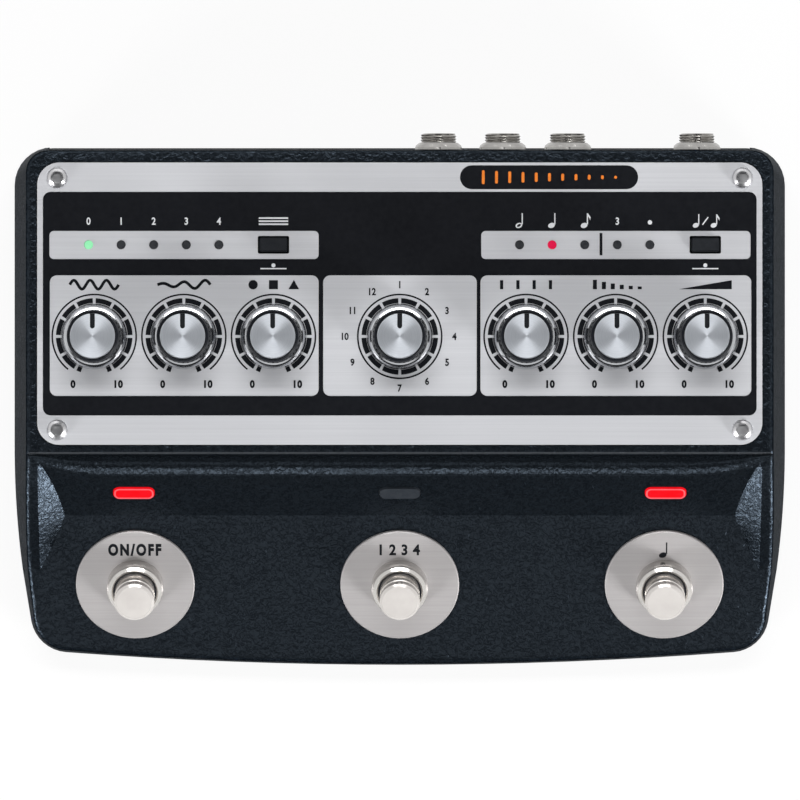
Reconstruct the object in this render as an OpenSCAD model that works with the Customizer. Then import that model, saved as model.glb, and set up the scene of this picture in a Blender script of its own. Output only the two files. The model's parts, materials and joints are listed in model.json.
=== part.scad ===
// Desktop delay unit: wedge-shaped cast case, brushed control panel, sloping foot deck.
// Millimetres. Origin on the floor under the middle of the unit, +Y to the rear, +Z up.

/* [Case] */
// Width over the lower rim
case_w = 192; // [188:1:204]
// Distance from the origin to the foremost point of the front edge
case_front = 66; // [65:0.5:70]
// Distance from the origin to the rear rim
case_rear = 63; // [62.5:0.5:66]
// Height of the flat rear part above the floor
plateau_z = 38; // [37:0.5:42]
// Thickness of the side walls
wall = 2.6; // [2:0.1:3.2]
// Thickness of the roof above the controls, measured outside the panel recess
roof = 3; // [2.6:0.1:3.6]
// How far the side walls lean in between the rim and the flat part
draft = 4.3; // [3:0.1:5]
// How much of that lean the rear wall shares
rear_draft_share = 0.4; // [0.2:0.05:0.8]
// Rounding of the upper edges
edge_r = 1.3; // [0.6:0.1:1.8]
// Corner radius of the rim at the rear
rear_corner_r = 9.5; // [8:0.5:12]
// Corner radius of the rim at the front
front_corner_r = 9.5; // [8:0.5:12]
// Radius of the long curve of each side towards the front
side_bow_r = 225; // [200:5:300]
// Where that curve starts
side_bow_y = -12; // [-13:0.5:-8]
// Radius of the front edge
front_bow_r = 1100; // [800:50:1500]

/* [Foot deck] */
// Front edge of the flat rear part
plateau_front_y = -13.3; // [-14.5:0.1:-13]
// Place of the ridge between the groove and the lamp slope
ridge_y = -18.7; // [-19.5:0.1:-18]
// Height of that ridge
ridge_z = 34.2; // [33.5:0.1:34.4]
// Depth of the groove behind the ridge
groove = 2; // [1.6:0.1:2.4]
// Line where the lamp slope meets the deck
deck_y = -28.5; // [-29.5:0.1:-28]
// Height of the deck at that line
deck_z = 25.4; // [25:0.1:26.5]
// Slope of the deck
deck_tilt = 24.5; // [23:0.25:25]
// Thickness of the casting under the deck, measured upright
deck_wall = 3; // [2.6:0.1:3.2]
// Where the side cheeks run out into the deck
cheek_end_y = -42; // [-43.5:0.5:-41]
// Bulge of the cheeks' upper edges, 1 being straight
cheek_bow = 1.4; // [1.1:0.1:1.6]
// Slope of the cheeks' inner walls
cheek_tilt = 38; // [32:1:46]
// Distance of the cheeks' inner edges from the sides of the rim
cheek_w = 7; // [6.6:0.1:7.2]
// Width of the narrow flat on the ridge
ridge_flat = 0.5; // [0.3:0.1:0.8]
// Bevel of the flat rear part's front edge
lip = 0.5; // [0.3:0.1:0.8]

/* [Panel] */
// Case left bare at each side of the control panel
panel_margin = 7; // [6.5:0.1:7.5]
// Rear edge of the control panel
panel_rear = 58.3; // [57.8:0.1:58.6]
// Front edge of the control panel
panel_front = -11; // [-11.2:0.1:-10.5]
// Sheet thickness of the control panel
panel_t = 1; // [0.8:0.1:1.2]
// How far the panel stands above the case
panel_proud = 0.4; // [0.2:0.1:0.6]
// Corner radius of the panel
panel_corner_r = 5.4; // [4.5:0.1:6]
// Panel screws: distance from the panel's sides
panel_screw_in = 4.9; // [4.5:0.1:5.2]
// Panel screws: rear row
panel_screw_rear = 54.6; // [54:0.1:55]
// Panel screws: front row
panel_screw_front = -7.3; // [-7.6:0.1:-7]
// Panel screws: head diameter
panel_screw_d = 5.1; // [4.6:0.1:5.6]

/* [Knobs] */
// Distance of the outermost knobs from the panel's sides
knob_in = 14; // [13.5:0.1:14.5]
// Spacing of the side knobs
knob_pitch = 22; // [21.5:0.1:22]
// Row of the knobs
knob_y = 15.6; // [15:0.1:16.5]
// Height of a knob above the panel
knob_h = 13.6; // [12.5:0.1:15]
// Air between a knob and the panel
knob_air = 0.4; // [0.3:0.1:0.8]
// Diameter of the plated skirt at its foot
skirt_d = 16.2; // [15.5:0.1:17]
// Height of the plated skirt
skirt_h = 3.6; // [3:0.1:4.5]
// Diameter of the grip at its foot
grip_d = 13.2; // [13:0.1:13.6]
// Diameter of the grip at its top
grip_top_d = 12.5; // [12.3:0.1:12.8]
// Diameter of the metal cap
cap_d = 11.1; // [11:0.1:11.6]
// Thickness of the metal cap
cap_t = 0.9; // [0.7:0.1:1.2]
// Width of the pointer slot
pointer_w = 1.2; // [0.8:0.1:1.6]
// Length of the pointer slot
pointer_l = 3.7; // [3:0.1:4.5]
// Number of flutes round the grip
flutes = 36; // [24:2:40]
// Diameter of the control shafts
shaft_d = 6; // [5.8:0.1:6.2]

/* [Lights] */
// Row of the panel lights and keys
light_y = 38.1; // [37.5:0.1:38.5]
// Spacing of the panel lights
light_pitch = 8; // [7.8:0.05:8.1]
// Distance of the left row's first light from the panel's side
light_in = 12.6; // [12.2:0.1:13]
// How far the right row's first light lies inside the knob below it
light_step = 1.6; // [1.2:0.1:2]
// Diameter of the panel lights
light_d = 2.05; // [1.8:0.05:2.4]
// Width of the lamps on the slope
lamp_w = 10.2; // [9:0.1:12]
// Height of the lamps along the slope
lamp_h = 3.8; // [3:0.1:4.4]
// Place of the lamps down the slope, as seen from above
lamp_y = -22.9; // [-23.4:0.1:-22.5]
// How far a lamp stands out of the slope
lamp_proud = 0.35; // [0.2:0.05:0.6]

/* [Keys] */
// Width of the keys
key_w = 6.8; // [6:0.1:7.2]
// Depth of the keys
key_d = 3.45; // [3:0.05:3.8]
// Gap round a key
key_gap = 0.45; // [0.35:0.05:0.6]
// How far a key stands above the panel
key_proud = 1; // [0.8:0.1:1.5]
// Travel of a key
key_travel = 0.4; // [0.3:0.05:0.5]

/* [Foot switches] */
// Distance of the outer switches from the sides of the rim
foot_in = 30.5; // [29:0.5:32]
// Row of the switches, as seen from above
foot_y = -45.5; // [-46:0.1:-45]
// Diameter of the discs
disc_d = 29.4; // [27:0.2:31]
// Thickness of the discs
disc_t = 1; // [0.8:0.1:1.5]
// Diameter of the collars
collar_d = 14; // [13.6:0.1:15]
// Height of the collars
collar_h = 4.2; // [4:0.1:5]
// Diameter of the plungers
plunger_d = 9.9; // [9.5:0.1:10.2]
// Height of a plunger's top above its disc
plunger_h = 10; // [9.4:0.1:11]
// Travel of a plunger
plunger_travel = 2; // [1.5:0.1:2.4]

/* [Sockets] */
// Distance of the outermost large socket from the rear panel's end
socket_in = 13.4; // [12.5:0.1:14]
// Distances of the large sockets from the outermost one
socket_steps = [64, 48.1, 32, 0];
// Height of all plug axes above the floor
socket_z = 17; // [16.5:0.1:18]
// Plug diameter of the large sockets
plug_d = 6.35; // [6.3:0.05:6.4]
// Thread diameter of the bushes
bush_d = 8.9; // [8.4:0.1:9.2]
// Size of the nuts across flats
nut_af = 11.6; // [11:0.1:12.4]
// Thickness of the nuts
nut_t = 2.5; // [2:0.1:2.8]
// Distances of the two small sockets from the innermost large one
mini_steps = [39.6, 23.6];
// Plug diameter of the small sockets
mini_plug_d = 3.5; // [3.4:0.05:3.6]
// Distance of the power inlet from the rear panel's other end
power_in = 15; // [13.5:0.5:27]
// Outer diameter of the plug that fits the power inlet
power_plug_d = 5.5; // [5.3:0.1:5.7]
// Case left beside each end of the rear panel
rear_panel_in = 9; // [8.5:0.5:10]
// Height of the rear panel
rear_panel_h = 22; // [21.5:0.5:24]
// Sheet thickness of the rear panel
rear_panel_t = 1.5; // [1.2:0.1:1.8]

/* [Base and boards] */
// Height of the rubber feet
foot_h = 2.5; // [2.2:0.1:4]
// Diameter of the rubber feet
rubber_d = 14; // [12:0.5:15]
// Sheet thickness of the bottom cover
cover_t = 1.5; // [1.2:0.1:2]
// Thickness of the circuit boards
board_t = 1.6; // [1.2:0.1:1.8]
// Height of the posts under the main board
post_h = 4.6; // [4:0.1:5]
// Height of the control bodies between the panel board and the roof
control_h = 7; // [6.6:0.1:7.2]

/* [Hidden] */
$fn = 64;
// Play of parts that slide or turn in one another
run_play = 0.05;
// Play of fixed parts that are dropped into one another
fit_play = 0.1;
// Overshoot of cuts
past = 1;
// Radius of the bodies of small screws, and of their holes
screw_r = 1.4;
screw_hole_r = screw_r + fit_play;

// Heights
rim_z = foot_h + cover_t;
roof_z = plateau_z - roof;
panel_z = plateau_z + panel_proud;
panel_seat = panel_z - panel_t;
board_top = roof_z - control_h;
board_low = board_top - board_t;
main_low = rim_z + post_h;
main_top = main_low + board_t;

// Plan of the rim
half_w = case_w / 2;
rear_cx = half_w - rear_corner_r;
side_c = [half_w - side_bow_r, side_bow_y];
front_c = [0, front_bow_r - case_front];
corner_steps = 8;
front_steps = 8;
cheek_steps = 8;

// Foot deck
crest_run = plateau_front_y - cheek_end_y;
crest_drop = plateau_z - deck_at(cheek_end_y);
roof_step_y = plateau_front_y + wall;

// Places across the width, all counted in from the sides
cheek_x = half_w - cheek_w;
panel_w = case_w - 2 * panel_margin;
panel_screw_x = panel_w / 2 - panel_screw_in;
knob_x = panel_w / 2 - knob_in - 2 * knob_pitch;
light_left_x = light_in - panel_w / 2;
light_right_x = knob_x - light_step;
foot_x = half_w - foot_in;
rear_panel_w = case_w - 2 * rear_panel_in;
socket_x = [for (step = socket_steps) rear_panel_w / 2 - socket_in - step];
mini_x = [for (step = mini_steps) socket_x[0] - step];
power_x = power_in - rear_panel_w / 2;

// Places of controls, screws and bosses
KNOBS = [
    ["rate", -knob_x - 2 * knob_pitch],
    ["depth", -knob_x - knob_pitch],
    ["variation", -knob_x],
    ["mode", 0],
    ["time", knob_x],
    ["feedback", knob_x + knob_pitch],
    ["level", knob_x + 2 * knob_pitch]
];
KEYS = [["memory", -knob_x], ["division", knob_x + 2 * knob_pitch]];
FEET = [["left", -foot_x], ["centre", 0], ["right", foot_x]];
LIT_GREEN = [light_left_x];
LIT_RED = [light_right_x + light_pitch];
UNLIT = concat(
    [for (i = [1:4]) light_left_x + i * light_pitch],
    [for (i = [0, 2, 3, 4]) light_right_x + i * light_pitch]
);
panel_screws_at = [
    for (x = [-panel_screw_x, panel_screw_x], y = [panel_screw_front, panel_screw_rear]) [x, y]
];
board_hold_x = knob_x + 1.5 * knob_pitch;
board_hold_y = 13;
board_screws_at = [
    for (x = [-board_hold_x, 0, board_hold_x], s = [-1, 1]) [x, knob_y + s * board_hold_y]
];
cover_side_in = 9;
cover_deck_in = 14;
cover_rear_in = 19;
cover_mid_in = 61;
cover_corner_in = 16;
cover_front_in = 9;
cover_screws_at = [
    for (
        s = [-1, 1],
        p = [
            [half_w - cover_side_in, case_rear - cover_rear_in],
            [half_w - cover_side_in, case_rear - cover_mid_in],
            [half_w - cover_deck_in, cover_corner_in - case_front],
            [foot_x / 2, cover_front_in - case_front]
        ]
    )
        [s * p.x, p.y]
];
rubber_in = 28;
rubber_rear_in = 14;
rubber_front_in = 16;
rubber_at = [
    for (
        s = [-1, 1],
        p = [[half_w - rubber_in, case_rear - rubber_rear_in], [foot_x, rubber_front_in - case_front]]
    )
        [s * p.x, p.y]
];

// Outline and heights of the case

function lerp(a, b, s) = a + (b - a) * s;

// Height of the foot deck
function deck_at(y) = deck_z + (y - deck_y) * tan(deck_tilt);

// Height of the case's upper side before the deck is sunk between the cheeks
function crest(y) =
    y >= plateau_front_y ? plateau_z :
    y >= cheek_end_y ? plateau_z - crest_drop * pow((plateau_front_y - y) / crest_run, cheek_bow)
    : deck_at(y);

// Inset of the leaning walls at a height
function lean(z) = draft * (z - rim_z) / (plateau_z - rim_z);

// Right-hand meeting point of two circles
function meet(c1, r1, c2, r2) =
    let (d = norm(c2 - c1), a = (r1 * r1 - r2 * r2 + d * d) / (2 * d), u = (c2 - c1) / d)
    c1 + a * u + sqrt(r1 * r1 - a * a) * [u.y, -u.x];

corner_c = meet(side_c, side_bow_r - front_corner_r, front_c, front_bow_r - front_corner_r);
corner_a0 = atan2(corner_c.y - side_c.y, corner_c.x - side_c.x);
corner_a1 = atan2(corner_c.y - front_c.y, corner_c.x - front_c.x);

function arc(c, r, a0, a1, n) =
    [for (i = [0:n]) let (a = lerp(a0, a1, i / n)) c + r * [cos(a), sin(a)]];

// Right half of the plan, a distance inside the rim, from the rear corner to the middle of the front
function half_plan(inset) =
    let (rear_cy = case_rear - rear_draft_share * inset - (rear_corner_r - inset))
    concat(
        arc([rear_cx, rear_cy], rear_corner_r - inset, 90, 0, corner_steps),
        [[half_w - inset, side_bow_y]],
        [for (i = [0:cheek_steps]) let (y = lerp(plateau_front_y, cheek_end_y, i / cheek_steps))
            [side_c.x + sqrt(pow(side_bow_r - inset, 2) - pow(y - side_bow_y, 2)), y]],
        arc(corner_c, front_corner_r - inset, corner_a0, corner_a1, corner_steps),
        [for (i = [1:front_steps]) let (a = lerp(corner_a1, -90, i / front_steps))
            front_c + (front_bow_r - inset) * [i == front_steps ? 0 : cos(a), sin(a)]]
    );

// The other half of a plan or ring, without its middle point, back to the rear corner
function flipped(half) =
    [for (j = [len(half) - 2:-1:0]) let (p = half[j]) [-p.x, for (i = [1:len(p) - 1]) p[i]]];

// Ring of points on the wall's rounded upper edge, at an angle round the rounding
function edge_ring(inset, top, r, a) =
    let (rim = half_plan(inset))
    [for (j = [0:len(rim) - 1])
        let (p = half_plan(inset + lean(top(rim[j].y) - r) + r * (1 - cos(a)))[j])
        [p.x, p.y, top(p.y) - r * (1 - sin(a))]];

function low_ring(inset, z) = [for (p = half_plan(inset + lean(z))) [p.x, p.y, z]];

// Closed body with leaning walls, a top that follows a height function, and a rounded upper edge
module leaning_body(inset, low, top, r) {
    edge_steps = 4;
    rings = concat(
        [low_ring(inset, low)],
        [for (i = [0:edge_steps]) edge_ring(inset, top, r, 90 * i / edge_steps)]
    );
    n = len(rings[0]);
    m = 2 * n - 1;
    last = len(rings) - 1;
    sides = [for (k = [0:last - 1], i = [0:m - 1]) let (i2 = (i + 1) % m)
        let (a = k * m + i, b = k * m + i2)
        each [[a, b, b + m], [a, b + m, a + m]]];
    strips = [for (j = [0:n - 2])
        j == n - 2 ? [j, j + 1, m - 1 - j] : [j, j + 1, m - 2 - j, m - 1 - j]];
    lid = [for (s = strips) [for (i = s) last * m + i]];
    floor = [for (s = strips) [for (i = [len(s) - 1:-1:0]) s[i]]];
    polyhedron([for (ring = rings) each concat(ring, flipped(ring))], concat(sides, lid, floor));
}

// Everything below a line a given depth under the case's upper side
module under_crest(depth) {
    far = case_w;
    reach = case_front + past;
    rotate([90, 0, 90])
        translate([0, 0, -far])
            linear_extrude(2 * far)
                polygon([
                    [far, 0], [far, plateau_z - depth], [plateau_front_y, plateau_z - depth],
                    [cheek_end_y, deck_at(cheek_end_y) - depth],
                    [-reach, deck_at(-reach) - depth], [-reach, 0]
                ]);
}

// Hollow inside of the case
module case_hollow() {
    far = case_w;
    reach = case_front + past;
    intersection() {
        leaning_body(wall, rim_z - past, function(y) roof_z, edge_r / 2);
        rotate([90, 0, 90])
            translate([0, 0, -far])
                linear_extrude(2 * far)
                    polygon([
                        [far, 0], [far, roof_z + past], [roof_step_y, roof_z + past],
                        [roof_step_y, deck_at(roof_step_y) - deck_wall],
                        [-reach, deck_at(-reach) - deck_wall], [-reach, 0]
                    ]);
    }
}

// Space sunk between the cheeks: deck, lamp slope, ridge and the groove behind it
groove_steps = 10;
// Above 1, the steps down the groove crowd towards its steep rear side
groove_crowding = 1.5;
// Below 1, the deepest part of the groove lies nearer its rear side
groove_skew = 0.75;
// How far the cuts reach beyond the cheeks' front ends and above their edges
bowl_end_y = cheek_end_y - 5;
bowl_top = plateau_z + 5;
// The sunk floor dips this much more than the deck, so that it runs out where the cheeks end
bowl_dip = 0.1;
// Slope of the wall that holds the lamps
wall_tilt = atan((ridge_z - bowl_floor(deck_y)) / (ridge_y - deck_y));

// Where the ridge starts to bend back, and where it meets the flat rear part
ridge_run = cheek_x - 17;
groove_end = cheek_x + 2.5;
groove_end_y = deck_y + (plateau_z - bowl_floor(deck_y)) / tan(wall_tilt);
groove_end_steps = 7;

function bowl_floor(y) = deck_at(y) - (y - cheek_end_y) * tan(bowl_dip);
function on_wall(y) = bowl_floor(deck_y) + (y - deck_y) * tan(wall_tilt);

// Share of the ridge's way back at a place across the case, and the ridge's place there
function bend(x) = pow(max(0, (abs(x) - ridge_run) / (groove_end - ridge_run)), 2);
function ridge_at(x) = lerp(ridge_y, groove_end_y, bend(x));

// Point in the groove, 0 at the edge of the flat rear part and 1 at the ridge, as [y, z]
function groove_point(x, q) =
    lerp([plateau_front_y, plateau_z - lip], [ridge_at(x) + ridge_flat, on_wall(ridge_at(x))], q)
    - [0, groove * (1 - bend(x)) * sin(180 * pow(q, groove_skew))];

// Upright section through the groove
function groove_section(x) = concat(
    [[ridge_at(x), bowl_top], [ridge_at(x), on_wall(ridge_at(x))]],
    [for (k = [0:groove_steps]) groove_point(x, pow(1 - k / groove_steps, groove_crowding))],
    [[plateau_front_y + lip, plateau_z], [plateau_front_y + lip, bowl_top]]
);

// Skin through a row of sections that have equally many points
module through_sections(sections) {
    m = len(sections[0]);
    last = len(sections) - 1;
    sides = [for (k = [0:last - 1], i = [0:m - 1]) let (a = k * m + i, b = k * m + (i + 1) % m)
        each [[a, a + m, b + m], [a, b + m, b]]];
    ends = [[for (i = [0:m - 1]) i], [for (i = [m - 1:-1:0]) last * m + i]];
    polyhedron([for (section = sections) each section], concat(sides, ends));
}

module groove_space() {
    right = [for (i = [0:groove_end_steps]) lerp(ridge_run, groove_end, i / groove_end_steps)];
    left = [for (i = [groove_end_steps:-1:0]) -right[i]];
    through_sections([for (x = concat(left, right)) [for (c = groove_section(x)) [x, c.x, c.y]]]);
}

// Deck and lamp slope, carried across the whole width
module deck_space() {
    far = case_w;
    wall_top_y = groove_end_y + past;
    rotate([90, 0, 90])
        translate([0, 0, -far])
            linear_extrude(2 * far)
                polygon([
                    [bowl_end_y, bowl_top], [bowl_end_y, bowl_floor(bowl_end_y)],
                    [deck_y, bowl_floor(deck_y)], [wall_top_y, on_wall(wall_top_y)],
                    [wall_top_y, bowl_top]
                ]);
}

// Space between the sloping inner walls of the cheeks, which follow the cheeks' bulging edges
module between_cheeks() {
    wall_run = 12;
    over_run = 3;
    rise = tan(cheek_tilt);
    stations = concat(
        [plateau_front_y + lip + past],
        [for (i = [0:cheek_steps]) lerp(plateau_front_y, cheek_end_y, i / cheek_steps)],
        [bowl_end_y - past]
    );
    section = [
        [cheek_x - wall_run, -wall_run * rise], [cheek_x + over_run, over_run * rise],
        [-cheek_x - over_run, over_run * rise], [wall_run - cheek_x, -wall_run * rise]
    ];
    through_sections([for (y = stations) [for (c = section) [c.x, y, crest(y) + c.y]]]);
}

module bowl() {
    intersection() {
        deck_space();
        between_cheeks();
    }
    groove_space();
}

// Flat shapes

// Rectangle with round corners, centred
module round_rect(w, d, r) {
    square([w - 2 * r, d], center = true);
    square([w, d - 2 * r], center = true);
    for (x = [-1, 1], y = [-1, 1]) translate([x * (w / 2 - r), y * (d / 2 - r)]) circle(r);
}

module panel_outline(grow) {
    translate([0, (panel_rear + panel_front) / 2])
        round_rect(panel_w + 2 * grow, panel_rear - panel_front + 2 * grow, panel_corner_r + grow);
}

// Holes of the controls, as seen from above, with some room round each control
module control_holes(room) {
    for (k = KNOBS) translate([k[1], knob_y]) circle(pot_bush_r + room);
    for (x = concat(LIT_GREEN, LIT_RED, UNLIT)) translate([x, light_y]) circle(light_d / 2 + room);
    for (k = KEYS)
        translate([k[1], light_y]) round_rect(key_w + 2 * key_gap, key_d + 2 * key_gap, key_gap);
}

// Frames on the slopes

module on_deck(x) {
    translate([x, foot_y, deck_at(foot_y)]) rotate([deck_tilt, 0, 0]) children();
}

module on_slope(x) {
    translate([x, lamp_y, lerp(bowl_floor(deck_y), ridge_z, (lamp_y - deck_y) / (ridge_y - deck_y))])
        rotate([wall_tilt, 0, 0])
            children();
}

module to_rear(x) {
    translate([x, rear_panel_y, socket_z]) rotate([-90, 0, 0]) children();
}

// Small building steps

module rod(h, r) { cylinder(h, r, r); }

module at_each(places, z) {
    for (p = places) translate([p.x, p.y, z]) children();
}

// Hole through the rear panel for a socket of a given radius
module rear_hole(x, r) {
    to_rear(x) translate([0, 0, -rear_panel_t - past]) rod(rear_panel_t + 2 * past, r + fit_play);
}

// Case and covers

boss_r = 4;
board_boss_r = 3.2;
// Casting left over a boss
boss_skin = 1.2;
panel_screw_l = 6;
rear_panel_gap = 0.25;
// Outer face of the rear panel, just inside the leaning rear wall
rear_panel_y = case_rear - rear_draft_share * lean(rim_z + rear_panel_h) - rear_panel_gap;

module case_bosses() {
    intersection() {
        under_crest(boss_skin);
        union() {
            at_each(cover_screws_at, rim_z) rod(plateau_z, boss_r);
            at_each(board_screws_at, board_top) rod(plateau_z, board_boss_r);
            at_each(panel_screws_at, panel_seat - panel_screw_l - boss_skin)
                rod(plateau_z, board_boss_r);
        }
    }
}

module case_holes() {
    deck_hole_l = 4 * deck_wall;
    translate([0, 0, panel_seat]) linear_extrude(roof) panel_outline(rear_panel_gap);
    translate([0, 0, roof_z - past]) linear_extrude(roof + past) control_holes(fit_play);
    at_each(panel_screws_at, panel_seat - panel_screw_l) rod(roof + panel_screw_l, screw_hole_r);
    at_each(board_screws_at, board_top - past) rod(board_screw_l - board_t + past, screw_hole_r);
    at_each(cover_screws_at, rim_z - past) rod(cover_screw_l - cover_t + past, screw_hole_r);
    for (f = FEET) {
        on_deck(f[1]) translate([0, 0, -deck_hole_l / 2]) rod(deck_hole_l, switch_bush_r + fit_play);
        on_slope(f[1]) translate([0, 0, -lamp_l]) linear_extrude(2 * lamp_l) lamp_outline(fit_play);
    }
    translate([0, case_rear, rim_z - past])
        linear_extrude(rear_panel_h + past + rear_panel_gap)
            square([rear_panel_w + 2 * rear_panel_gap, 4 * wall], center = true);
}

module upper_case() {
    color([0.12, 0.13, 0.16])
    difference() {
        union() {
            difference() {
                leaning_body(0, rim_z, function(y) crest(y), edge_r);
                case_hollow();
            }
            case_bosses();
        }
        bowl();
        case_holes();
    }
}

cover_inset = 0.6;
cover_screw_l = 6;
cover_hole_r = screw_r + 0.3;
post_r = 2.8;
post_inset = 6;

module bottom_cover() {
    half = half_plan(cover_inset);
    color([0.1, 0.1, 0.11]) {
        difference() {
            translate([0, 0, foot_h]) linear_extrude(cover_t) polygon(concat(half, flipped(half)));
            at_each(cover_screws_at, foot_h - past) rod(cover_t + 2 * past, cover_hole_r);
        }
        at_each(posts_at, foot_h + fit_play) rod(cover_t - fit_play + post_h, post_r);
    }
}

module rear_panel() {
    color([0.11, 0.12, 0.14])
    difference() {
        translate([-rear_panel_w / 2, rear_panel_y - rear_panel_t, rim_z])
            cube([rear_panel_w, rear_panel_t, rear_panel_h]);
        for (x = socket_x) rear_hole(x, bush_r);
        for (x = mini_x) rear_hole(x, mini_bush_r);
        rear_hole(power_x, power_bush_r);
    }
}

module rubber_feet() {
    foot_taper = 1;
    color([0.05, 0.05, 0.05])
        at_each(rubber_at, 0) cylinder(foot_h, rubber_d / 2 - foot_taper, rubber_d / 2);
}

screw_head_h = 1.5;
screw_head_r = 2.7;
screw_edge = 0.6;

module cover_screws() {
    color([0.3, 0.3, 0.32])
        at_each(cover_screws_at, foot_h) {
            rod(cover_screw_l, screw_r);
            translate([0, 0, -screw_head_h])
                rotate_extrude()
                    polygon([
                        [0, 0], [screw_head_r - screw_edge, 0], [screw_head_r, screw_edge],
                        [screw_head_r, screw_head_h], [0, screw_head_h]
                    ]);
        }
}

module front_panel() {
    color([0.82, 0.82, 0.84])
    difference() {
        translate([0, 0, panel_seat]) linear_extrude(panel_t) panel_outline(0);
        translate([0, 0, panel_seat - past]) linear_extrude(panel_t + 2 * past) control_holes(fit_play);
        at_each(panel_screws_at, panel_seat - past) rod(panel_t + 2 * past, screw_hole_r);
    }
}

// Button heads with a hexagon socket
module panel_screws() {
    head_h = 1.3;
    rim_h = 0.3;
    crown = [[0.35, 0.85], [0.95, head_h]];
    socket_r = 2.6 / sqrt(3);
    socket_depth = 0.8;
    r = panel_screw_d / 2;
    color([0.75, 0.75, 0.77])
        at_each(panel_screws_at, panel_z) difference() {
            union() {
                translate([0, 0, -panel_screw_l]) rod(panel_screw_l, screw_r);
                rotate_extrude()
                    polygon(concat(
                        [[0, 0], [r, 0], [r, rim_h]],
                        [for (c = crown) [r - c.x, c.y]],
                        [[0, head_h]]
                    ));
            }
            translate([0, 0, head_h - socket_depth])
                cylinder(socket_depth + past, socket_r, socket_r, $fn = 6);
        }
}

// Knobs

skirt_z = panel_z + knob_air;
knob_top = panel_z + knob_h;
grip_seat = skirt_z + skirt_h;
cap_seat = knob_top - cap_t;
// Plastic left between the shaft and the cap
grip_top_t = 1.2;
shaft_top = cap_seat - grip_top_t;
shaft_flat = 1.5;
skirt_top_w = 0.6;
core_r = grip_d / 2 - skirt_top_w;

module knob_skirt(x) {
    r0 = skirt_d / 2;
    r1 = grip_d / 2;
    foot = 0.6;
    curve_steps = 6;
    profile = concat(
        [[core_r + run_play, 0], [r0, 0]],
        [for (i = [0:curve_steps]) let (a = 90 * i / curve_steps)
            [r0 - (r0 - r1) * (1 - cos(a)), foot + (skirt_h - foot) * sin(a)]],
        [[core_r + run_play, skirt_h]]
    );
    color([0.85, 0.85, 0.87])
        translate([x, knob_y, skirt_z]) rotate_extrude() polygon(profile);
}

module knob_grip(x) {
    flute_r = 0.34;
    flute_out = 0.12;
    flute_foot = 0.6;
    band = 0.4;
    foot_lift = 0.3;
    cap_rise = 0.15;
    h = knob_top - grip_seat - cap_rise;
    color([0.07, 0.07, 0.08])
    translate([x, knob_y, 0]) difference() {
        union() {
            translate([0, 0, skirt_z + foot_lift]) rod(grip_seat - skirt_z - foot_lift, core_r);
            translate([0, 0, grip_seat])
                rotate_extrude()
                    polygon([
                        [0, 0], [grip_d / 2, 0], [grip_d / 2, band], [grip_top_d / 2, h - band],
                        [grip_top_d / 2 - band, h], [0, h]
                    ]);
        }
        translate([0, 0, cap_seat]) rod(cap_t + past, cap_d / 2 + run_play);
        translate([0, 0, skirt_z - past]) shaft_section(shaft_top - skirt_z + past, run_play);
        for (i = [0:flutes - 1])
            rotate(360 * i / flutes)
                translate([grip_d / 2 + flute_out, 0, grip_seat + flute_foot])
                    cylinder(h, flute_r, flute_r, $fn = 16);
    }
}

// Round shaft with a flat on one side
module shaft_section(l, room) {
    r = shaft_d / 2 + room;
    difference() {
        rod(l, r);
        translate([-r - past, -r - past, -past]) cube([2 * (r + past), shaft_flat + past, l + 2 * past]);
    }
}

module knob_cap(x) {
    slot_depth = 0.35;
    edge = 0.25;
    r = cap_d / 2;
    color([0.8, 0.8, 0.82])
    translate([x, knob_y, cap_seat]) difference() {
        rotate_extrude() polygon([[0, 0], [r, 0], [r, cap_t - edge], [r - edge, cap_t], [0, cap_t]]);
        translate([0, r - pointer_l + pointer_w / 2, cap_t - slot_depth]) {
            rod(cap_t, pointer_w / 2);
            translate([-pointer_w / 2, 0, 0]) cube([pointer_w, pointer_l, cap_t]);
        }
    }
}

// Rotary controls on the panel board

pot_bush_r = 3.8;
pot_bush_top = panel_z - 0.2;
pot_w = 10;
pot_d = 11.5;
mode_w = 15;
shaft_foot = board_top + 1.6;
// The shaft is plain up to here, where its flat starts
shaft_plain_top = skirt_z - fit_play;

module knob_shaft(x) {
    color([0.6, 0.6, 0.62])
    translate([x, knob_y, 0]) {
        translate([0, 0, shaft_foot]) rod(shaft_plain_top - shaft_foot, shaft_d / 2);
        translate([0, 0, shaft_plain_top]) shaft_section(shaft_top - shaft_plain_top, 0);
    }
}

module rotary_body(x, w, d) {
    translate([x, knob_y, 0]) difference() {
        union() {
            translate([-w / 2, -d / 2, board_top]) cube([w, d, control_h - fit_play]);
            translate([0, 0, board_top]) rod(pot_bush_top - board_top, pot_bush_r);
        }
        translate([0, 0, shaft_foot - fit_play]) rod(plateau_z, shaft_d / 2 + run_play);
    }
}

module control_bodies() {
    color([0.2, 0.3, 0.2])
        for (k = KNOBS)
            if (k[0] == "mode") rotary_body(k[1], mode_w, mode_w);
            else rotary_body(k[1], pot_w, pot_d);
}

// Keys

key_flange_t = 1;
key_lip = 1.1;
key_stem_r = 1.6;
stem_room = 0.3;
switch_w = 6.2;
switch_h = 3.6;
well_depth = 1.2;
key_flange_z = roof_z - fit_play - key_flange_t;

module key(x) {
    edge = 0.3;
    corner = 0.5;
    top = panel_z + key_proud;
    flange_grow = 2 * (key_gap + key_lip);
    stem_low = board_top + switch_h - well_depth + key_travel + stem_room;
    color([0.08, 0.08, 0.09])
    translate([x, light_y, 0]) {
        translate([0, 0, key_flange_z])
            linear_extrude(key_flange_t) round_rect(key_w + flange_grow, key_d + flange_grow, corner);
        translate([0, 0, key_flange_z])
            linear_extrude(top - edge - key_flange_z) round_rect(key_w, key_d, corner);
        translate([0, 0, top - edge])
            linear_extrude(edge) round_rect(key_w - 2 * edge, key_d - 2 * edge, corner);
        translate([0, 0, stem_low]) rod(key_flange_z - stem_low, key_stem_r);
    }
}

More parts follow.
